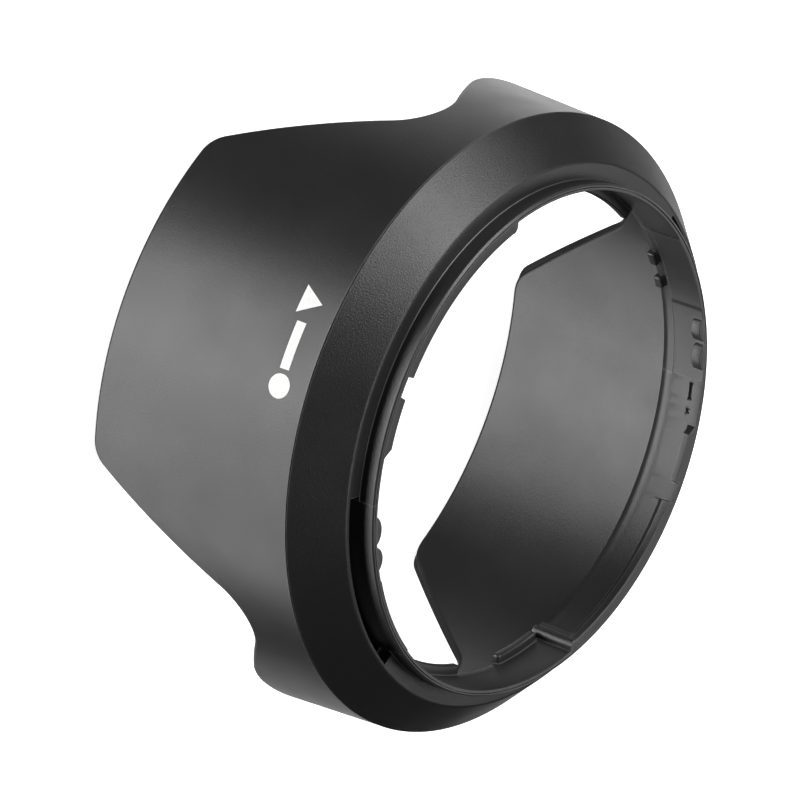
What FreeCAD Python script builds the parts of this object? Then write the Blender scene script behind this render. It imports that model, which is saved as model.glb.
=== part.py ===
import FreeCAD, Part
import math
import os
import Sketcher


# Petal lens hood with a bayonet mount.
# Origin: on the optical axis, in the plane of the long petals' tips.
# +Z runs along the optical axis to the mount end. The long petals are centred on +X and -X.

# Driving dimensions: (alias, value, meaning). Lengths in mm, angles in degrees.
DIMENSIONS = [
    ("total_height", 31.3, "petal tips to the rim of the bayonet ring"),
    ("seam_height", 24.9, "seam between the petal shell and the collar"),
    ("seam_radius", 33.5, "outer radius of the collar at the seam"),
    ("seam_step", 0.08, "step of the shell below the collar at the seam"),
    ("tip_radius", 34.78, "outer radius of the shell at the long petals' tips"),
    ("shell_wall", 1.32, "radial thickness of the petal shell"),
    ("spigot_radius", 32.67, "outer radius of the spigot that enters the collar"),
    ("spigot_height", 0.43, "height of that spigot"),
    ("valley_angle", 57.0, "direction of the cut that makes the valley between two petals"),
    ("valley_offset", 2.1, "sideways place of the valley's corner in that cut"),
    ("valley_height", 19.48, "height of the valley's corner before rounding"),
    ("valley_round", 6.2, "radius of the rounded valley"),
    ("long_side_offset", 17.372, "sideways place of the long petal's side, cut_depth below the tip"),
    ("cut_depth", 2.0, "depth of the cuts below the tip plane"),
    ("cut_reach", 19.6, "sideways reach of the cuts towards the short petal's middle"),
    ("tip_corner_round", 3.0, "radius of the long petals' corners"),
    ("short_tip_height", 12.4, "height of the short petals' tips"),
    ("short_tip_offset", 11.79, "sideways place of the corner where a short petal's tip starts"),
    ("short_tip_round", 18.0, "radius of the blend into the short petal's tip"),
    ("edge_round", 0.3, "rounding of the petals' edges"),
    ("collar_wall", 1.3, "wall thickness of the conical collar"),
    ("rebate_radius", 32.7, "inner radius of the collar's rebate for the spigot"),
    ("rebate_height", 0.45, "height of that rebate"),
    ("ledge_height", 29.37, "height of the collar's flat rear ledge"),
    ("ledge_radius", 29.27, "radius where the cone meets the rear ledge"),
    ("ledge_bore", 27.62, "inner radius of the rear ledge"),
    ("ledge_thick", 1.3, "thickness of the rear ledge"),
    ("lip_round", 0.42, "rounding between the cone and the rear ledge"),
    ("bore_edge_round", 0.1, "rounding of the rear ledge's inner edge"),
    ("relief_start", 25.0, "angle where a relief slot starts"),
    ("relief_end", 68.7, "angle where a relief slot ends"),
    ("relief_radius", 28.85, "outer radius of a relief slot"),
    ("ring_bore", 26.75, "inner radius of the bayonet ring"),
    ("ring_radius", 27.5, "outer radius of the bayonet ring"),
    ("ring_foot", 25.7, "height of the ring's lower edge"),
    ("foot_chamfer_width", 0.35, "width of the chamfer at the bore's lower edge"),
    ("foot_chamfer_height", 0.85, "height of that chamfer"),
    ("flange_height", 27.3, "height of the underside of the ring's flange"),
    ("flange_radius", 28.3, "outer radius of that flange"),
    ("rim_round", 0.12, "rounding of the ring's rim"),
    ("groove_height", 31.0, "height of the fine groove below the rim"),
    ("groove_width", 0.14, "width of that groove"),
    ("groove_radius", 27.36, "radius at the bottom of that groove"),
    ("tab_radius", 25.95, "inner radius of the bayonet tabs"),
    ("tab_thick", 1.0, "thickness of the tabs"),
    ("long_tab_start", -46.2, "angle where the long tab starts"),
    ("long_tab_end", -2.5, "angle where the long tab ends"),
    ("short_tab_start", 2.0, "angle where the short tab starts"),
    ("short_tab_end", 14.5, "angle where the short tab ends"),
    ("tab_gap_radius", 26.95, "radius of the nick between the two tabs"),
    ("stop_start", -47.0, "angle where the stop rib starts"),
    ("stop_end", -42.8, "angle where the stop rib ends"),
    ("stop_radius", 26.0, "inner radius of the stop rib"),
    ("shelf_start", -62.0, "angle where the shelf below the stop starts"),
    ("shelf_radius", 25.7, "inner radius of that shelf"),
    ("shelf_base", 25.8, "height of the shelf's underside"),
    ("shelf_thick", 1.3, "thickness of the shelf"),
    ("lug_radius", 26.2, "inner radius of the lower lugs"),
    ("lug_base", 25.8, "height of the lower lugs' underside"),
    ("lug_thick", 0.95, "thickness of the lower lugs"),
    ("lug_one_start", 47.6, "angle where the first lower lug starts"),
    ("lug_one_end", 50.9, "angle where the first lower lug ends"),
    ("lug_two_start", 55.2, "angle where the second lower lug starts"),
    ("lug_two_end", 58.9, "angle where the second lower lug ends"),
    ("foot_ledge_start", 74.0, "angle where the ledge under the ring starts"),
    ("foot_ledge_end", 105.2, "angle where that ledge ends"),
    ("foot_ledge_radius", 25.72, "inner radius of that ledge"),
    ("foot_ledge_outer", 27.3, "outer radius of that ledge"),
    ("foot_ledge_base", 25.5, "height of that ledge's underside"),
    ("foot_ledge_thick", 0.9, "thickness of that ledge"),
    ("window_start", 26.1, "angle where the ring's window for a leaf starts"),
    ("window_end", 67.4, "angle where that window ends"),
    ("leaf_start", 26.4, "angle where a detent leaf starts"),
    ("leaf_end", 67.1, "angle where a detent leaf ends"),
    ("leaf_radius", 27.45, "outer radius of a detent leaf"),
    ("leaf_foot", 27.4, "height of a detent leaf's lower edge"),
    ("bump_thick", 1.3, "height of the detent bumps along the axis"),
    ("bump_radius", 26.02, "radius of the bumps' crests"),
    ("ink_thick", 0.06, "thickness of the printed index marks"),
    ("mark_height", 21.5, "height of the index marks' middle"),
    ("dot_radius", 1.25, "radius of the index dot"),
    ("dot_offset", 4.1, "sideways place of the index dot"),
    ("line_length", 5.0, "length of the index line"),
    ("line_width", 1.1, "width of the index line"),
    ("line_offset", -2.65, "sideways place of the index line's end"),
    ("arrow_size", 1.7, "corner distance of the index triangle"),
    ("arrow_offset", -4.9, "sideways place of the index triangle"),
]
SIZE = {alias: value for alias, value, meaning in DIMENSIONS}

doc = FreeCAD.newDocument("lens_hood")
sheet = doc.addObject("Spreadsheet::Sheet", "sizes")
for row, (alias, value, meaning) in enumerate(DIMENSIONS, start=1):
    sheet.set(f"A{row}", meaning)
    sheet.set(f"B{row}", str(value))
    sheet.setAlias(f"B{row}", alias)
doc.recompute()


def number(terms):
    """Value of a sum such as 'seam_radius - seam_step'."""
    total, sign = 0.0, 1.0
    for term in terms.split():
        if term in "+-":
            sign = -1.0 if term == "-" else 1.0
        else:
            total += sign * (SIZE[term] if term in SIZE else float(term))
    return total


def formula(terms):
    """The same sum as an expression on the sheet."""
    return " ".join(f"sizes.{term}" if term in SIZE else term for term in terms.split())


def new_body(name):
    body = doc.addObject("PartDesign::Body", name)
    body.Label = name
    return body


def origin_feature(body, role):
    return next(item for item in body.Origin.OriginFeatures if item.Role == role)


def new_sketch(body, name, role, height=None, turn=0.0):
    """Sketch on an origin plane, raised to a height or turned about Z."""
    sketch = body.newObject("Sketcher::SketchObject", name)
    sketch.AttachmentSupport = [(origin_feature(body, role), "")]
    sketch.MapMode = "FlatFace"
    if turn:
        rotation = FreeCAD.Rotation(FreeCAD.Vector(0, 1, 0), turn)
        sketch.AttachmentOffset = FreeCAD.Placement(FreeCAD.Vector(0, 0, 0), rotation)
    if height:
        sketch.setExpression("AttachmentOffset.Base.z", formula(height))
    return sketch


def polygon(sketch, corners, round_at=None, radius=None):
    """Closed polygon of (x, y) sums on the sheet, with one corner rounded if asked."""
    points = [FreeCAD.Vector(number(x), number(y), 0) for x, y in corners]
    for start, end in zip(points, points[1:] + points[:1]):
        sketch.addGeometry(Part.LineSegment(start, end), False)
    for line in range(len(points)):
        following = (line + 1) % len(points)
        sketch.addConstraint(Sketcher.Constraint("Coincident", line, 2, following, 1))
    for line, point in enumerate(points):
        sketch.addConstraint(Sketcher.Constraint("DistanceX", -1, 1, line, 1, point.x))
        sketch.addConstraint(Sketcher.Constraint("DistanceY", -1, 1, line, 1, point.y))
    if round_at is not None:
        corner = points[round_at]
        near = [(corner + points[round_at + step]) * 0.5 for step in (-1, 1)]
        sketch.fillet(round_at - 1, round_at, near[0], near[1], number(radius), True, True)
        arc = len(points)
        index = sketch.addConstraint(Sketcher.Constraint("Radius", arc, number(radius)))
        sketch.setExpression(f"Constraints[{index}]", formula(radius))
    sums = iter([terms for corner in corners for terms in corner])
    for index, constraint in enumerate(sketch.Constraints):
        if constraint.Type in ("DistanceX", "DistanceY"):
            sketch.setExpression(f"Constraints[{index}]", formula(next(sums)))


def sector(sketch, inner, outer, start, end):
    """Annular sector between two radii and two angles."""
    low, high = math.radians(number(start)), math.radians(number(end))
    centre, normal = FreeCAD.Vector(0, 0, 0), FreeCAD.Vector(0, 0, 1)
    radii = (number(inner), number(outer))
    for radius in radii:
        circle = Part.Circle(centre, normal, radius)
        sketch.addGeometry(Part.ArcOfCircle(circle, low, high), False)
    for angle in (low, high):
        ends = [FreeCAD.Vector(r * math.cos(angle), r * math.sin(angle), 0) for r in radii]
        sketch.addGeometry(Part.LineSegment(*ends), False)
    for arc, terms in ((0, inner), (1, outer)):
        sketch.addConstraint(Sketcher.Constraint("Coincident", arc, 3, -1, 1))
        index = sketch.addConstraint(Sketcher.Constraint("Radius", arc, number(terms)))
        sketch.setExpression(f"Constraints[{index}]", formula(terms))
    for line, arc_end, terms in ((2, 1, start), (3, 2, end)):
        sketch.addConstraint(Sketcher.Constraint("Coincident", line, 1, 0, arc_end))
        sketch.addConstraint(Sketcher.Constraint("Coincident", line, 2, 1, arc_end))
        sketch.addConstraint(Sketcher.Constraint("PointOnObject", -1, 1, line))
        angle = math.radians(number(terms))
        index = sketch.addConstraint(Sketcher.Constraint("Angle", line, angle))
        sketch.setExpression(f"Constraints[{index}]", f"({formula(terms)}) * 1 deg")


def revolve(body, name, corners):
    """Turn a profile of (radius, height) corners about the optical axis."""
    sketch = new_sketch(body, name + "_profile", "XZ_Plane")
    polygon(sketch, corners)
    feature = body.newObject("PartDesign::Revolution", name)
    feature.Profile = sketch
    feature.ReferenceAxis = (sketch, ["V_Axis"])
    feature.Angle = 360.0
    doc.recompute()
    return feature


def extrude(body, name, kind, sketch, length, away=False):
    """Pad or pocket of a sketch. 'away' sends it along the sketch's normal."""
    feature = body.newObject("PartDesign::" + kind, name)
    feature.Profile = sketch
    feature.setExpression("Length", formula(length))
    feature.Reversed = away if kind == "Pocket" else False
    doc.recompute()
    return feature


def opposite(body, name, features):
    """Repeat features half a turn further round the axis."""
    pattern = body.newObject("PartDesign::PolarPattern", name)
    pattern.Originals = features
    pattern.Axis = (origin_feature(body, "Z_Axis"), [""])
    pattern.Angle = 360.0
    pattern.Occurrences = 2
    body.Tip = pattern
    doc.recompute()
    return pattern


def sector_pair(body, name, kind, height, length, limits):
    """A sector pad or pocket and its twin on the far side of the axis."""
    sketch = new_sketch(body, name + "_outline", "XY_Plane", height)
    sector(sketch, *limits)
    feature = extrude(body, name, kind, sketch, length, away=(kind == "Pocket"))
    return opposite(body, name + "_pair", [feature])


def circle_edges(feature, radius, height):
    """Names of the edges on one circle about the axis."""
    names = []
    for index, edge in enumerate(feature.Shape.Edges, start=1):
        curve = edge.Curve
        if not isinstance(curve, Part.Circle):
            continue
        level = abs(curve.Center.z - height) < 1e-4
        if level and abs(curve.Radius - radius) < 1e-4 and curve.Center.Length < height + 1e-3:
            names.append(f"Edge{index}")
    return names


def fillet(body, name, base, edges, radius):
    feature = body.newObject("PartDesign::Fillet", name)
    feature.Base = (base, edges)
    feature.setExpression("Radius", formula(radius))
    doc.recompute()
    return feature


def mirrored(terms):
    """The same sum with its sign changed."""
    tokens = terms.split()
    if tokens[0] not in "+-":
        tokens.insert(0, "+")
    return " ".join({"+": "-", "-": "+"}.get(token, token) for token in tokens)


def cut_valley(body, name, direction, side):
    """Cut one gap between petals, outwards from the optical axis.

    Seen along the radius through the valley, the long petal is on the left (side 1)
    or on the right (side -1).
    """
    corners = [
        ("- long_side_offset", "- cut_depth"),
        ("- valley_offset", "valley_height"),
        ("short_tip_offset", "short_tip_height"),
        ("cut_reach", "short_tip_height"),
        ("cut_reach", "- cut_depth"),
    ]
    if side < 0:
        corners = [(mirrored(across), height) for across, height in reversed(corners)]
    sketch = new_sketch(body, name + "_outline", "XZ_Plane", turn=90.0 + direction)
    polygon(sketch, corners, 2, "short_tip_round")
    before = body.Tip.Shape.Volume
    cut = extrude(body, name, "Pocket", sketch, "tip_radius + 5", away=True)
    if cut.Shape.Volume > before - 10:
        raise RuntimeError(name + " removed nothing")
    return cut


def wall_edges(shape, height):
    """Names of the straight edges across the wall at one height."""
    return [f"Edge{index}" for index, edge in enumerate(shape.Edges, start=1)
            if isinstance(edge.Curve, Part.Line)
            and abs(edge.BoundBox.ZMin - height) < 1e-3
            and abs(edge.BoundBox.ZMax - height) < 1e-3
            and abs(edge.CenterOfMass.x) > 1.0]


def build_petal_shell():
    """Flared barrel with two long petals and two short petals."""
    body = new_body("petal_shell")
    revolve(body, "shell_barrel", [
        ("tip_radius", "0"),
        ("seam_radius - seam_step", "seam_height"),
        ("spigot_radius", "seam_height"),
        ("spigot_radius", "seam_height + spigot_height"),
        ("seam_radius - shell_wall", "seam_height + spigot_height"),
        ("seam_radius - shell_wall", "seam_height"),
        ("tip_radius - shell_wall", "0"),
    ])
    valley = SIZE["valley_angle"]
    cuts = [cut_valley(body, "valley_one", valley, 1),
            cut_valley(body, "valley_two", 180.0 - valley, -1)]
    latest = opposite(body, "valleys", cuts)
    rounds = [("valley_rounds", "valley_height", "valley_round"),
              ("tip_corner_rounds", "0", "tip_corner_round")]
    for name, height, radius in rounds:
        latest = fillet(body, name, latest, wall_edges(latest.Shape, number(height)), radius)
    limit = SIZE["seam_height"] - 1.0
    petal_edges = [f"Edge{index}" for index, edge in enumerate(latest.Shape.Edges, start=1)
                   if edge.BoundBox.ZMax < limit and not isinstance(edge.Curve, Part.Line)]
    fillet(body, "petal_edges", latest, petal_edges, "edge_round")
    return body


def build_mount_collar():
    """Conical collar with a flat rear ledge and two arc-shaped relief slots."""
    body = new_body("mount_collar")
    run = SIZE["seam_radius"] - SIZE["ledge_radius"]
    rise = SIZE["ledge_height"] - SIZE["seam_height"]
    slant = math.hypot(run, rise)
    inner_radius = SIZE["seam_radius"] - SIZE["collar_wall"] * rise / slant
    inner_height = SIZE["seam_height"] - SIZE["collar_wall"] * run / slant
    under = SIZE["ledge_height"] - SIZE["ledge_thick"]
    seat = SIZE["seam_height"] + SIZE["rebate_height"]
    under_radius = inner_radius - (under - inner_height) * run / rise
    seat_radius = inner_radius - (seat - inner_height) * run / rise
    revolved = revolve(body, "collar_cone", [
        ("seam_radius", "seam_height"),
        ("ledge_radius", "ledge_height"),
        ("ledge_bore", "ledge_height"),
        ("ledge_bore", "ledge_height - ledge_thick"),
        (f"{under_radius:.4f}", "ledge_height - ledge_thick"),
        (f"{seat_radius:.4f}", "seam_height + rebate_height"),
        ("rebate_radius", "seam_height + rebate_height"),
        ("rebate_radius", "seam_height"),
    ])
    lip = circle_edges(revolved, SIZE["ledge_radius"], SIZE["ledge_height"])
    rounded = fillet(body, "rear_lip", revolved, lip, "lip_round")
    inner = circle_edges(rounded, SIZE["ledge_bore"], SIZE["ledge_height"])
    fillet(body, "ledge_inner_edge", rounded, inner, "bore_edge_round")
    sector_pair(body, "relief_slot", "Pocket", "ledge_height - ledge_thick - 1",
                "ledge_thick + 2", ("ring_bore", "relief_radius", "relief_start", "relief_end"))
    return body


def build_bayonet_ring():
    """Ring that stands proud of the collar and carries the bayonet's tabs and stops."""
    body = new_body("bayonet_ring")
    flange_top = "ledge_height - ledge_thick"
    revolved = revolve(body, "ring_wall", [
        ("ring_bore", "ring_foot + foot_chamfer_height"),
        ("ring_bore + foot_chamfer_width", "ring_foot"),
        ("ring_radius", "ring_foot"),
        ("ring_radius", "flange_height"),
        ("flange_radius", "flange_height"),
        ("flange_radius", flange_top),
        ("ring_radius", flange_top),
        ("ring_radius", "groove_height"),
        ("groove_radius", "groove_height"),
        ("groove_radius", "groove_height + groove_width"),
        ("ring_radius", "groove_height + groove_width"),
        ("ring_radius", "total_height"),
        ("ring_bore", "total_height"),
    ])
    rim = circle_edges(revolved, SIZE["ring_radius"], SIZE["total_height"])
    fillet(body, "rim_edge", revolved, rim, "rim_round")
    overlap = "ring_bore + 0.2"
    deep_overlap = "ring_bore + 0.5"
    tab_base = "total_height - tab_thick"
    sector_pair(body, "long_tab", "Pad", tab_base, "tab_thick",
                ("tab_radius", overlap, "long_tab_start", "long_tab_end"))
    sector_pair(body, "short_tab", "Pad", tab_base, "tab_thick",
                ("tab_radius", overlap, "short_tab_start", "short_tab_end"))
    sector_pair(body, "stop_rib", "Pad", "shelf_base", "total_height - shelf_base",
                ("stop_radius", deep_overlap, "stop_start", "stop_end"))
    sector_pair(body, "stop_shelf", "Pad", "shelf_base", "shelf_thick",
                ("shelf_radius", deep_overlap, "shelf_start", "stop_end"))
    sector_pair(body, "lower_lug_one", "Pad", "lug_base", "lug_thick",
                ("lug_radius", deep_overlap, "lug_one_start", "lug_one_end"))
    sector_pair(body, "lower_lug_two", "Pad", "lug_base", "lug_thick",
                ("lug_radius", deep_overlap, "lug_two_start", "lug_two_end"))
    sector_pair(body, "foot_ledge", "Pad", "foot_ledge_base", "foot_ledge_thick",
                ("foot_ledge_radius", "foot_ledge_outer", "foot_ledge_start", "foot_ledge_end"))
    sector_pair(body, "tab_gap", "Pocket", tab_base, "tab_thick + 1",
                ("shelf_radius", "tab_gap_radius", "long_tab_end", "short_tab_start"))
    sector_pair(body, "leaf_window", "Pocket", "flange_height", "total_height - flange_height + 1",
                ("shelf_radius", "relief_radius", "window_start", "window_end"))
    return body


def bump_outline(sketch, start, end, crest):
    """Rounded detent bump on the inside of a leaf: an arc over a short radial root."""
    root = SIZE["ring_bore"] + 0.2
    middle = (start + end) / 2
    places = [(root, start), (SIZE["ring_bore"], start), (crest, middle),
              (SIZE["ring_bore"], end), (root, end)]
    points = [FreeCAD.Vector(radius * math.cos(math.radians(angle)),
                             radius * math.sin(math.radians(angle)), 0)
              for radius, angle in places]
    curves = [Part.LineSegment(points[0], points[1]), Part.Arc(*points[1:4]),
              Part.LineSegment(points[3], points[4]), Part.LineSegment(points[4], points[0])]
    for curve in curves:
        sketch.addGeometry(curve, False)
        sketch.addConstraint(Sketcher.Constraint("Block", sketch.GeometryCount - 1))


def build_detent_leaf(name, turn):
    """Springy piece of the bore's wall that carries two detent bumps."""
    body = new_body(name)
    sketch = new_sketch(body, name + "_wall_outline", "XY_Plane", "leaf_foot")
    sector(sketch, "ring_bore", "leaf_radius", "leaf_start", "leaf_end")
    extrude(body, name + "_wall", "Pad", sketch, "total_height - leaf_foot")
    for count, (start, end) in enumerate([(29.0, 35.6), (36.4, 42.0)], start=1):
        bump = new_sketch(body, f"{name}_bump_{count}_outline", "XY_Plane",
                          "total_height - bump_thick")
        bump_outline(bump, start, end, SIZE["bump_radius"])
        extrude(body, f"{name}_bump_{count}", "Pad", bump, "bump_thick")
    body.Placement = FreeCAD.Placement(FreeCAD.Vector(0, 0, 0),
                                       FreeCAD.Rotation(FreeCAD.Vector(0, 0, 1), turn))
    doc.recompute()
    return body


def ink_skin(name):
    """Thin skin of ink on the shell's outer cone, to be trimmed to a mark."""
    base = "tip_radius"
    top = "seam_radius - seam_step"
    cones = []
    for label, extra in (("outer", " + ink_thick"), ("inner", "")):
        cone = doc.addObject("Part::Cone", f"{name}_{label}")
        cone.setExpression("Radius1", formula(base + extra))
        cone.setExpression("Radius2", formula(top + extra))
        cone.setExpression("Height", formula("seam_height"))
        cones.append(cone)
    skin = doc.addObject("Part::Cut", name + "_skin")
    skin.Base, skin.Tool = cones
    return skin


def printed_mark(name, cutter):
    """Index mark: the ink skin inside a cutter that points along +X."""
    mark = doc.addObject("Part::Common", name)
    mark.Base = ink_skin(name)
    mark.Tool = cutter
    mark.Label = name
    doc.recompute()
    return mark


def build_index_marks():
    """Generic printed marks: a dot, a line and a triangle."""
    along_x = FreeCAD.Rotation(FreeCAD.Vector(0, 1, 0), 90)
    dot = doc.addObject("Part::Cylinder", "dot_cutter")
    dot.setExpression("Radius", formula("dot_radius"))
    dot.setExpression("Height", formula("tip_radius + 5"))
    dot.Placement = FreeCAD.Placement(FreeCAD.Vector(0, SIZE["dot_offset"], SIZE["mark_height"]),
                                      along_x)
    line = doc.addObject("Part::Box", "line_cutter")
    line.setExpression("Length", formula("tip_radius + 5"))
    line.setExpression("Width", formula("line_length"))
    line.setExpression("Height", formula("line_width"))
    line_base = SIZE["mark_height"] - SIZE["line_width"] / 2
    line.Placement = FreeCAD.Placement(FreeCAD.Vector(0, SIZE["line_offset"], line_base),
                                       FreeCAD.Rotation())
    arrow = doc.addObject("Part::Prism", "arrow_cutter")
    arrow.Polygon = 3
    arrow.setExpression("Circumradius", formula("arrow_size"))
    arrow.setExpression("Height", formula("tip_radius + 5"))
    turn_up = FreeCAD.Rotation(FreeCAD.Vector(0, 0, 1), 180)
    arrow.Placement = FreeCAD.Placement(
        FreeCAD.Vector(0, SIZE["arrow_offset"], SIZE["mark_height"] - 0.3),
        along_x.multiply(turn_up))
    return [printed_mark("index_dot", dot), printed_mark("index_line", line),
            printed_mark("index_triangle", arrow)]


subparts = [
    build_petal_shell(),
    build_mount_collar(),
    build_bayonet_ring(),
    build_detent_leaf("detent_leaf_a", 0.0),
    build_detent_leaf("detent_leaf_b", 180.0),
]
subparts += build_index_marks()
doc.recompute()

for item in doc.Objects:
    if "Invalid" in item.State or "Error" in item.State:
        raise RuntimeError(f"{item.Label} did not compute: {item.State}")
for part in subparts:
    if part.Shape.isNull() or not part.Shape.isValid() or len(part.Shape.Solids) != 1:
        raise RuntimeError(f"{part.Label} is not one valid solid")

os.makedirs("parts", exist_ok=True)
for part in subparts:
    part.Shape.exportStep(f"parts/{part.Label}.step")
    box = part.Shape.BoundBox
    print(f"{part.Label}: {part.Shape.Volume:.2f} mm3, x {box.XMin:.2f}..{box.XMax:.2f}, "
          f"y {box.YMin:.2f}..{box.YMax:.2f}, z {box.ZMin:.2f}..{box.ZMax:.2f}")
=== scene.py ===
import bmesh
import bpy
import math
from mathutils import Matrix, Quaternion, Vector


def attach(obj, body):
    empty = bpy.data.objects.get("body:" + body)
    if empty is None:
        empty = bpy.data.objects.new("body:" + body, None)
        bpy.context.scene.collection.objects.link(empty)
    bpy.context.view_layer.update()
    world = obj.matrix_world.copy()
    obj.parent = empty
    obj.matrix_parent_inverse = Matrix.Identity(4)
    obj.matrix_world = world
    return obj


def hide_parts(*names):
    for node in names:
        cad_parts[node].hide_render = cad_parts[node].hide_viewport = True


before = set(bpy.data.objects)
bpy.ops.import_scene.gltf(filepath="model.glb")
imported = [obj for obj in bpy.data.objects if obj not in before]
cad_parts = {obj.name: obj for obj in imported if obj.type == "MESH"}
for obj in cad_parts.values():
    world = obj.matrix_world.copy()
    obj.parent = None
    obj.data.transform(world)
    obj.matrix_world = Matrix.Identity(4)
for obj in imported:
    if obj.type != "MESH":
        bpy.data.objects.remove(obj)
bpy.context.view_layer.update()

scene = bpy.context.scene
scene.view_settings.view_transform = "Standard"
MM = 0.001


def node(tree, kind, **values):
    """New shader node with the given properties."""
    made = tree.nodes.new(kind)
    for key, value in values.items():
        setattr(made, key, value)
    return made


MOTTLE_MM = 6
ROUGHNESS_SPREAD = 0.035
TINT_SPREAD = 0.20


def moulded(name, colour, roughness, grain_mm, grain_depth, edge_highlight_mm=0.25):
    """Moulded plastic: spark-eroded grain, faint flow mottling and a painted highlight along the
    edges, paler in patches. Sizes in mm.
    """
    material = bpy.data.materials.new(name)
    material.use_nodes = True
    tree = material.node_tree
    link = tree.links.new
    shader = tree.nodes["Principled BSDF"]
    place = node(tree, "ShaderNodeTexCoord").outputs["Object"]

    grain = node(tree, "ShaderNodeTexNoise")
    grain.inputs["Scale"].default_value = 1 / (grain_mm * MM)
    grain.inputs["Detail"].default_value = 3
    grain.inputs["Roughness"].default_value = 0.6
    link(place, grain.inputs["Vector"])

    mottle = node(tree, "ShaderNodeTexNoise")
    mottle.inputs["Scale"].default_value = 1 / (MOTTLE_MM * MM)
    mottle.inputs["Detail"].default_value = 4
    link(place, mottle.inputs["Vector"])

    rough = node(tree, "ShaderNodeMapRange")
    rough.inputs["From Min"].default_value = 0.3
    rough.inputs["From Max"].default_value = 0.7
    rough.inputs["To Min"].default_value = roughness - ROUGHNESS_SPREAD
    rough.inputs["To Max"].default_value = roughness + ROUGHNESS_SPREAD
    link(mottle.outputs["Fac"], rough.inputs["Value"])
    link(rough.outputs["Result"], shader.inputs["Roughness"])

    tint = node(tree, "ShaderNodeMix", data_type="RGBA")
    tint.inputs["A"].default_value = (*[c * (1 - TINT_SPREAD) for c in colour], 1)
    tint.inputs["B"].default_value = (*[c * (1 + TINT_SPREAD) for c in colour], 1)
    link(grain.outputs["Fac"], tint.inputs["Factor"])

    # Painted highlight on the edges: where the softened normal leaves the true one, the plastic is
    # painted paler, in patches.
    soft = node(tree, "ShaderNodeBevel", samples=6)
    soft.inputs["Radius"].default_value = edge_highlight_mm * MM
    agree = node(tree, "ShaderNodeVectorMath", operation="DOT_PRODUCT")
    link(soft.outputs["Normal"], agree.inputs[0])
    link(node(tree, "ShaderNodeNewGeometry").outputs["Normal"], agree.inputs[1])
    edge = node(tree, "ShaderNodeMapRange")
    edge.inputs["From Min"].default_value = 0.995
    edge.inputs["From Max"].default_value = 0.90
    link(agree.outputs["Value"], edge.inputs["Value"])
    patchy_edge_highlight = node(tree, "ShaderNodeMath", operation="MULTIPLY")
    link(edge.outputs["Result"], patchy_edge_highlight.inputs[0])
    link(mottle.outputs["Fac"], patchy_edge_highlight.inputs[1])
    # Paler colour mixed in along the edges: a painted highlight.
    painted_edge_highlight = node(tree, "ShaderNodeMix", data_type="RGBA")
    painted_edge_highlight.inputs["B"].default_value = (*[min(1.0, c * 1.6 + 0.12) for c in colour], 1)
    link(patchy_edge_highlight.outputs["Value"], painted_edge_highlight.inputs["Factor"])
    link(tint.outputs["Result"], painted_edge_highlight.inputs["A"])
    link(painted_edge_highlight.outputs["Result"], shader.inputs["Base Color"])

    bump = node(tree, "ShaderNodeBump")
    bump.inputs["Distance"].default_value = grain_depth * MM
    bump.inputs["Strength"].default_value = 1.0
    link(grain.outputs["Fac"], bump.inputs["Height"])
    link(bump.outputs["Normal"], shader.inputs["Normal"])
    return material


black = (0.014, 0.014, 0.0145)
shell = moulded("shell_plastic_look", black, 0.36, 0.16, 0.018)
collar = moulded("collar_plastic_look", black, 0.36, 0.16, 0.036, edge_highlight_mm=0.12)
ring = moulded("ring_plastic_look", black, 0.36, 0.17, 0.020)
ink = moulded("index_ink_look", (0.8, 0.8, 0.78), 0.55, 0.12, 0.004)
for name in ("index_dot", "index_line", "index_triangle"):
    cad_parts[name].material_slots[0].material = ink

# ---------------------------------------------------------------- shapes, all in mm and degrees
SEAM, SEAM_R, TIP_R, WALL = 24.9, 33.42, 34.78, 1.32
RIM, LEDGE, BORE, RING_R = 31.3, 29.37, 26.75, 27.5
FLANGE_TOP, FLANGE_R = 28.07, 28.3
LEAVES = {"detent_leaf_a": 0.0, "detent_leaf_b": 180.0}
WINDOW = (26.1, 67.4)  # angles between which a leaf stands in the ring's wall
SLOT = (25.0, 68.7)  # angles of the relief slot behind a leaf


ARC_STEPS = 4
SHARP_ANGLE = 38


def steps(start, end, pitch=0.75):
    """Evenly spaced angles from start to end, about one pitch apart."""
    count = max(2, round((end - start) / pitch))
    return [start + (end - start) * i / count for i in range(count + 1)]


def rounded(corners):
    """Profile with each corner (r, z, radius) replaced by a tangent arc."""
    points = []
    for i, (r, z, radius) in enumerate(corners):
        corner = Vector((r, z))
        if radius == 0:
            points.append(corner)
            continue
        before = (Vector(corners[i - 1][:2]) - corner).normalized()
        after = (Vector(corners[(i + 1) % len(corners)][:2]) - corner).normalized()
        half = math.acos(max(-1, min(1, before.dot(after)))) / 2
        centre = corner + (before + after).normalized() * (radius / math.sin(half))
        first = corner + before * (radius / math.tan(half)) - centre
        last = corner + after * (radius / math.tan(half)) - centre
        arc = first.angle_signed(last)
        for k in range(ARC_STEPS + 1):
            turn = -arc * k / ARC_STEPS
            spin = Vector((first.x * math.cos(turn) - first.y * math.sin(turn),
                           first.x * math.sin(turn) + first.y * math.cos(turn)))
            points.append(centre + spin)
    return [(p.x, p.y) for p in points]


def loft(bm, columns, closed=False):
    """Skin over (angle, profile) columns; open runs get end caps."""
    rings = []
    for angle, profile in columns:
        a = math.radians(angle)
        rings.append([bm.verts.new((r * math.cos(a) * MM, r * math.sin(a) * MM, z * MM))
                      for r, z in profile])
    pairs = list(zip(rings, rings[1:]))
    if closed:
        pairs.append((rings[-1], rings[0]))
    for one, two in pairs:
        count = len(one)
        for j in range(count):
            k = (j + 1) % count
            bm.faces.new((one[j], one[k], two[k], two[j]))
    if not closed:
        bm.faces.new(rings[0][::-1])
        bm.faces.new(rings[-1])


def sweep(bm, profile, start, end):
    """One profile swept round the axis between two angles."""
    loft(bm, [(angle, profile) for angle in steps(start, end)])


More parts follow.
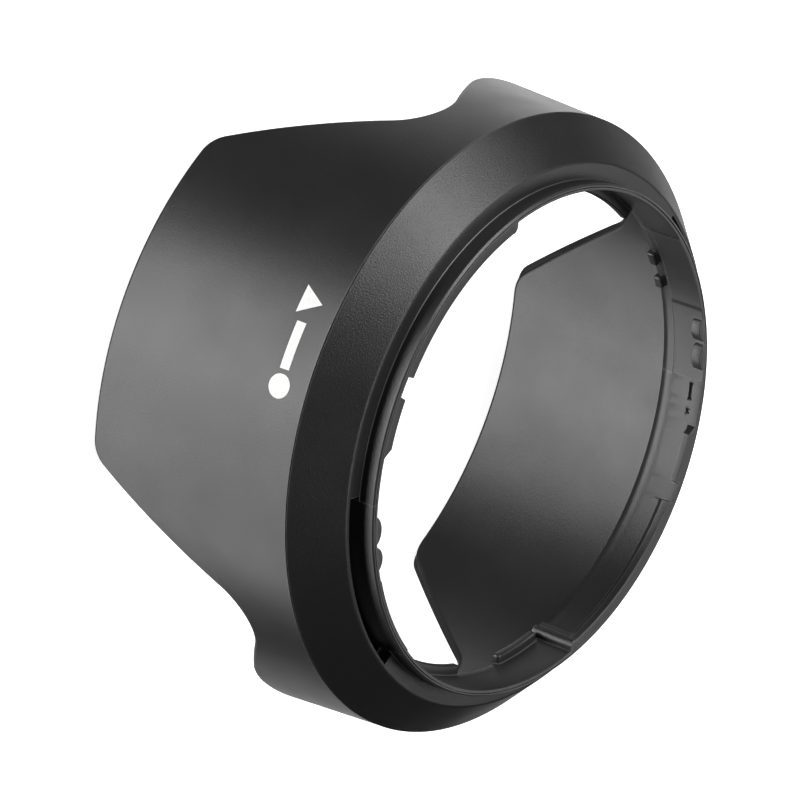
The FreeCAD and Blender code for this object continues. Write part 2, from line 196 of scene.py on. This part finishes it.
def block(bm, start, end, inner, outer, low, high, radius):
    """Curved bar between two angles with its edges rounded."""
    part = bmesh.new()
    sweep(part, [(inner, low), (outer, low), (outer, high), (inner, high)], start, end)
    bmesh.ops.recalc_face_normals(part, faces=part.faces)
    sharp = [e for e in part.edges if e.calc_face_angle(0) > 0.7]
    bmesh.ops.bevel(part, geom=sharp, offset=radius * MM, segments=3, profile=0.5,
                    affect="EDGES", clamp_overlap=True)
    mesh = bpy.data.meshes.new("part")
    part.to_mesh(mesh)
    bm.from_mesh(mesh)
    bpy.data.meshes.remove(mesh)
    part.free()


def finish_piece(name, bm, look, body, slot, *cad_nodes):
    """Turn the mesh into a smooth-shaded piece that stands for its CAD nodes."""
    bmesh.ops.recalc_face_normals(bm, faces=bm.faces)
    mesh = bpy.data.meshes.new(name)
    bm.to_mesh(mesh)
    bm.free()
    mesh.shade_smooth()
    mesh.set_sharp_from_angle(angle=math.radians(SHARP_ANGLE))
    mesh.materials.append(look)
    piece = bpy.data.objects.new(name, mesh)
    scene.collection.objects.link(piece)
    weighted = piece.modifiers.new("even_shading", "WEIGHTED_NORMAL")
    weighted.keep_sharp = True
    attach(piece, body)
    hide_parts(*cad_nodes)


# ---------------------------------------------------------------- petal shell
VALLEY = 57.0  # direction in which the valley between two petals is cut
TIP_U, PEAK_U, PEAK_Z, SHORT_U, SHORT_Z = -15.95, -2.1, 19.48, 11.79, 12.4
TIP_ROUND, PEAK_ROUND, SHORT_ROUND = 3.0, 6.2, 18.0
EDGE_ROUND = 0.5
GROOVE_DEPTH, GROOVE_HEIGHT = 0.16, 0.10


def outline(u):
    """Height of the shell's lower edge at a sideways place u in the valley's view."""
    rise = PEAK_Z / (PEAK_U - TIP_U)
    fall = (PEAK_Z - SHORT_Z) / (SHORT_U - PEAK_U)
    up, down = math.atan(rise), math.atan(fall)
    tip = TIP_ROUND * math.tan(up / 2)
    peak = PEAK_ROUND * math.tan((up + down) / 2)
    short = SHORT_ROUND * math.tan(down / 2)
    if u < TIP_U - tip:
        return 0.0
    if u < TIP_U + tip * math.cos(up):
        return TIP_ROUND - math.sqrt(TIP_ROUND ** 2 - (u - TIP_U + tip) ** 2)
    if u < PEAK_U - peak * math.cos(up):
        return (u - TIP_U) * rise
    if u < PEAK_U + peak * math.cos(down):
        middle = PEAK_U - peak * math.cos(up) + PEAK_ROUND * math.sin(up)
        base = PEAK_Z - peak * math.sin(up) - PEAK_ROUND * math.cos(up)
        return base + math.sqrt(max(0.0, PEAK_ROUND ** 2 - (u - middle) ** 2))
    if u < SHORT_U - short * math.cos(down):
        return PEAK_Z - (u - PEAK_U) * fall
    if u < SHORT_U + short:
        return SHORT_Z + SHORT_ROUND - math.sqrt(SHORT_ROUND ** 2 - (u - SHORT_U - short) ** 2)
    return SHORT_Z


def edge_height(radius, angle):
    """Lower edge height at an angle, the same in all four quarters."""
    quarter = math.degrees(math.acos(abs(math.cos(math.radians(angle)))))
    return outline(radius * math.sin(math.radians(quarter - VALLEY)))


def shell_profile(angle):
    """Section of the wall at an angle, from the seam round the petal's rounded edge."""
    lean = (TIP_R - SEAM_R) / SEAM
    soft = EDGE_ROUND
    sides = []
    for inset in (0.0, WALL):
        # The wall leans, so the edge's radius and height depend on each other.
        z = edge_height(TIP_R - inset - 0.6, angle)
        for _ in range(3):
            radius = TIP_R - inset - lean * z
            z = edge_height(radius, angle)
        slope = (edge_height(radius, angle + 0.1) - z) / (radius * math.radians(0.1))
        sides.append((radius, z, soft * math.hypot(1, slope)))
    (outer, low_out, tall_out), (inner, low_in, tall_in) = sides
    turns = [math.radians(22.5 * k) for k in range(5)]
    profile = [(SEAM_R - WALL, SEAM), (SEAM_R - GROOVE_DEPTH, SEAM),
               (SEAM_R, SEAM - GROOVE_HEIGHT)]
    profile += [(outer - soft + soft * math.cos(t), low_out + tall_out * (1 - math.sin(t)))
                for t in turns]
    profile += [(inner + soft - soft * math.sin(t), low_in + tall_in * (1 - math.cos(t)))
                for t in turns]
    return profile


bm = bmesh.new()
loft(bm, [(angle, shell_profile(angle)) for angle in steps(0, 360, 0.5)[:-1]], True)
finish_piece("petal_shell_skin", bm, shell, "hood", "shell_plastic", "petal_shell")

# ---------------------------------------------------------------- collar
COLLAR_R, LIP_R, LIP_ROUND = 33.44, 29.27, 0.5
SLOT_R, LEDGE_BORE = 28.85, 27.55


def collar_profile(inner, inner_round):
    """Section of the cone and the flat ledge, with a fine groove at the seam."""
    return rounded([
        (33.3, SEAM, 0), (COLLAR_R, SEAM + 0.07, 0.03), (LIP_R, LEDGE, LIP_ROUND),
        (inner, LEDGE, inner_round), (inner, FLANGE_TOP, 0.05),
        (max(28.71, inner + 0.05), FLANGE_TOP, 0), (31.28, 25.35, 0), (32.1, SEAM, 0)])


bm = bmesh.new()
for turn in (0, 180):
    sweep(bm, collar_profile(SLOT_R, 0.1), turn + SLOT[0], turn + SLOT[1])
    sweep(bm, collar_profile(LEDGE_BORE, 0.05), turn + SLOT[1], turn + SLOT[0] + 180)
finish_piece("mount_collar_skin", bm, collar, "hood", "collar_plastic", "mount_collar")

# ---------------------------------------------------------------- bayonet ring
ROOT = BORE + 0.3
FOOT, WALL_R, STEP_Z, TAB_DEPTH = 25.65, BORE + 0.07, 27.45, 0.87
RIM_GROOVE = [(27.11, RIM, 0), (27.13, RIM - 0.3, 0), (27.22, RIM - 0.3, 0), (27.24, RIM, 0),
              (RING_R - 0.16, RIM, 0), (RING_R, RIM - 0.17, 0)]
LONG_TAB, SHORT_TAB = (133.8, 177.5), (182.0, 195.6)
TAB_RAMP, SHORT_TAB_RAMP = 0.3, 1.9
WIDE_RECESS, SMALL_RECESS = (201.0, 205.4), (197.8, 199.2)


def share(angle, start, end, ramp_in=TAB_RAMP, ramp_out=TAB_RAMP):
    """1 between two angles, falling to 0 over a ramp inside each end."""
    return max(0.0, min(1.0, (angle - start) / ramp_in, (end - angle) / ramp_out))


def ring_foot():
    """Lower part of the section, the same all round: chamfered foot, wall and flange."""
    return [(FLANGE_R, STEP_Z - 0.15, 0), (RING_R, STEP_Z - 0.15, 0), (RING_R, FOOT, 0),
            (BORE + 0.38, FOOT, 0.12), (BORE, FOOT + 0.75, 1.6)]


def ring_section(angle):
    """Section of the moulded wall with its tabs and small recesses at a local angle."""
    long_tab = share(angle, *LONG_TAB)
    short_tab = share(angle, *SHORT_TAB, ramp_out=SHORT_TAB_RAMP)
    recess = (0.3 * share(angle, *WIDE_RECESS, 0.6, 0.6)
              + 0.25 * share(angle, *SMALL_RECESS, 0.5, 0.5))
    crest = WALL_R - TAB_DEPTH * (long_tab + short_tab)
    under, over = (29.5 if long_tab else 30.2), 30.45
    side = []
    for z in (29.5, 29.6, 29.75, 30.0, 30.15, 30.2, 30.3, over):
        climb = max(0.0, min(1.0, (z - under) / (over - under)))
        deep = recess if 29.7 < z < 30.1 else 0.0
        side.append((WALL_R + (crest - WALL_R) * climb + deep, z, 0))
    return rounded(ring_foot() + [(BORE, STEP_Z - 0.15, 0), (WALL_R, STEP_Z + 0.25, 0)] + side
                   + [(crest, RIM, 0.07)] + RIM_GROOVE + [
                       (RING_R, LEDGE + 0.05, 0), (RING_R + 0.06, LEDGE - 0.01, 0),
                       (RING_R + 0.06, FLANGE_TOP, 0), (FLANGE_R, FLANGE_TOP, 0)])


def window_section():
    """Section below the window in which a leaf stands."""
    return rounded(ring_foot() + [(BORE, 27.3, 0), (RING_R, 27.3, 0)])


def stop_rib(bm, start, end, crest):
    """Half-round rib across the wall, from the shelf up to the rim."""
    columns = []
    for angle in steps(start, end, 0.2):
        across = 2 * (angle - start) / (end - start) - 1
        inner = ROOT - (ROOT - crest) * math.sqrt(max(0.0, 1 - across ** 2)) - 0.02
        columns.append((angle, [(inner, 25.9), (ROOT + 0.1, 25.9), (ROOT + 0.1, RIM - 0.02),
                                (inner + 0.06, RIM - 0.02), (inner, RIM - 0.08)]))
    loft(bm, columns)


# Angles where a tab or a recess starts, ends or reaches its full depth.
FEATURES = [
    LONG_TAB[0], LONG_TAB[0] + TAB_RAMP, LONG_TAB[1] - TAB_RAMP, LONG_TAB[1],
    SHORT_TAB[0], SHORT_TAB[0] + TAB_RAMP, SHORT_TAB[1] - SHORT_TAB_RAMP, SHORT_TAB[1],
    198.0, 198.3, 198.7, 199.0, 201.0, 201.3, 205.1, 205.4]
# Bars inside the wall: start and end angle, inner and outer radius, foot, top and edge rounding.
BARS = {
    "bar beside the stop rib": (-44.6, -42.6, 26.2, ROOT, 25.9, RIM - 0.03, 0.15),
    "shelf": (-61.5, -47.6, 25.75, ROOT + 0.2, 25.9, 26.9, 0.3),
    "first lower lug": (48.3, 51.4, 26.2, ROOT + 0.2, 25.8, 26.75, 0.16),
    "second lower lug": (55.2, 58.9, 26.2, ROOT + 0.2, 25.8, 26.75, 0.16),
    "foot ledge": (74.0, 105.2, 25.72, 27.3, 25.5, 26.4, 0.22),
}
STOP_RIB = (-47.2, -43.8, 25.9)  # start and end angle, radius of the crest

bm = bmesh.new()
for turn in (0, 180):
    angles = sorted(set(steps(WINDOW[1], WINDOW[0] + 180) + FEATURES))
    loft(bm, [(turn + angle, ring_section(angle)) for angle in angles])
    sweep(bm, window_section(), turn + WINDOW[0], turn + WINDOW[1])
    start, end, crest = STOP_RIB
    stop_rib(bm, turn + start, turn + end, crest)
    for start, end, *section in BARS.values():
        block(bm, turn + start, turn + end, *section)
finish_piece("bayonet_ring_skin", bm, ring, "hood", "ring_plastic", "bayonet_ring")


# ---------------------------------------------------------------- detent leaves
LEAF_STEP, LEAF_STEP_RAMP, LEAF_GAP = 44.4, 1.0, 0.06
BUMPS = ((29.0, 35.6, 26.02), (36.3, 42.0, 26.05))  # start, end, radius of the crest


def leaf_section(angle):
    """Section of a leaf: past the bumps the wall stands a little further into the bore."""
    proud = 0.12 * share(angle, LEAF_STEP, 90.0, ramp_in=LEAF_STEP_RAMP)
    return rounded([(BORE - proud / 2, 27.33, 0.03), (RING_R, 27.33, 0.03)] + RIM_GROOVE[::-1]
                   + [(WALL_R - proud, RIM, 0.07), (WALL_R - proud, 27.7, 0)])


def leaf_wall(bm, turn):
    """Wall of a leaf, with a fine gap to the ring at both ends."""
    ends = [LEAF_STEP, LEAF_STEP + LEAF_STEP_RAMP]
    angles = sorted(set(steps(WINDOW[0] + LEAF_GAP, WINDOW[1] - LEAF_GAP) + ends))
    loft(bm, [(turn + angle, leaf_section(angle)) for angle in angles])


def bump(bm, turn, start, end, crest):
    """Wave-shaped detent on the inside of the leaf, at the rim."""
    columns = []
    for angle in steps(start, end, 0.25):
        along = (angle - start) / (end - start)
        height = math.sin(math.pi * along) ** 0.6 * (BORE - crest)
        inner = BORE + 0.12 - height * 1.12
        columns.append((turn + angle, rounded([(inner, 30.1, 0.1), (ROOT, 30.1, 0),
                                               (ROOT, RIM - 0.01, 0), (inner, RIM - 0.01, 0.1)])))
    loft(bm, columns)


for name, turn in LEAVES.items():
    bm = bmesh.new()
    leaf_wall(bm, turn)
    for start, end, crest in BUMPS:
        bump(bm, turn, start, end, crest)
    finish_piece(name + "_skin", bm, ring, "leaf_" + name[-1], "leaf_plastic", name)

# ---------------------------------------------------------------- camera
CAMERA_PLACE = Vector((524.719, 4.293, 384.071)) * MM
CAMERA_AZIMUTH, CAMERA_DROP, CAMERA_ROLL = -179.6486, 35.3222, 110.1350
turn, drop = math.radians(CAMERA_AZIMUTH), math.radians(CAMERA_DROP)
ahead = Vector((math.cos(turn) * math.cos(drop), math.sin(turn) * math.cos(drop), -math.sin(drop)))
camera = bpy.data.objects.new("camera", bpy.data.cameras.new("camera"))
scene.collection.objects.link(camera)
camera.data.lens = 276.45
camera.data.sensor_width = 36
camera.data.clip_start = 0.01
camera.location = CAMERA_PLACE
camera.rotation_mode = "QUATERNION"
camera.rotation_quaternion = (ahead.to_track_quat("-Z", "Y")
                              @ Quaternion((0, 0, 1), math.radians(CAMERA_ROLL)))
scene.camera = camera

# ---------------------------------------------------------------- light table
# The hood stands on a glowing white sheet that lets light through from softboxes below it.
bpy.ops.mesh.primitive_plane_add(size=6)
floor = bpy.context.object
floor.name = "floor"
floor.visible_glossy = False
floor.visible_diffuse = False
floor.visible_shadow = False
sheet = bpy.data.materials.new("light_table_sheet")
sheet.use_nodes = True
glow = sheet.node_tree.nodes["Principled BSDF"]
glow.inputs["Base Color"].default_value = (0.9, 0.9, 0.9, 1)
glow.inputs["Roughness"].default_value = 0.9
glow.inputs["Specular IOR Level"].default_value = 0.0
glow.inputs["Emission Color"].default_value = (1, 1, 1, 1)
glow.inputs["Emission Strength"].default_value = 0.88
floor.data.materials.append(sheet)

studio = bpy.data.worlds.new("studio")
studio.use_nodes = True
tree = studio.node_tree
walls = tree.nodes["Background"]
walls.inputs["Color"].default_value = (1, 1, 1, 1)
walls.inputs["Strength"].default_value = 0.04
backdrop = node(tree, "ShaderNodeBackground")
backdrop.inputs["Color"].default_value = (1, 1, 1, 1)
backdrop.inputs["Strength"].default_value = 1.0
mix = node(tree, "ShaderNodeMixShader")
tree.links.new(node(tree, "ShaderNodeLightPath").outputs["Is Camera Ray"], mix.inputs["Fac"])
tree.links.new(walls.outputs["Background"], mix.inputs[1])
tree.links.new(backdrop.outputs["Background"], mix.inputs[2])
tree.links.new(mix.outputs["Shader"], tree.nodes["World Output"].inputs["Surface"])
scene.world = studio

SOFTBOX_DISTANCE = 0.6
HOOD_MIDDLE = Vector((0, 0, 15 * MM))


def softbox(name, place, size, power):
    """Square softbox aimed at the hood, in a direction (right, up, near) seen from the camera."""
    light = bpy.data.objects.new(name, bpy.data.lights.new(name, "AREA"))
    scene.collection.objects.link(light)
    light.data.shape = "SQUARE"
    light.data.size = size
    light.data.energy = power
    out = (camera.rotation_quaternion @ Vector(place)).normalized()
    light.location = out * SOFTBOX_DISTANCE + HOOD_MIDDLE
    light.rotation_mode = "QUATERNION"
    light.rotation_quaternion = (-out).to_track_quat("-Z", "Y")
    light.visible_camera = False


softbox("key_high", (-0.85, 0.34, 0.38), 0.34, 2.2)
softbox("key_middle", (-0.95, -0.08, 0.20), 0.34, 2.0)
softbox("key_low", (-0.85, -0.48, -0.08), 0.36, 1.4)
softbox("cone_light", (0.59, 0.54, 0.60), 0.36, 3.2)
softbox("lip_low", (0.62, -0.54, 0.57), 0.22, 0.6)
softbox("lip_middle", (0.80, -0.04, 0.60), 0.22, 0.7)
softbox("lip_high", (0.92, 0.32, 0.24), 0.22, 0.3)
softbox("behind_top", (0.08, 0.55, -0.83), 0.34, 0.5)
softbox("behind_right", (0.42, 0.24, -0.87), 0.40, 0.2)
softbox("behind_middle", (0.0, 0.0, -1.0), 0.34, 0.35)
softbox("behind_left", (-0.25, -0.42, -0.87), 0.34, 0.2)
softbox("above", (0.0, 0.90, -0.43), 0.30, 0.2)
softbox("right_low", (0.95, -0.26, -0.18), 0.30, 0.5)
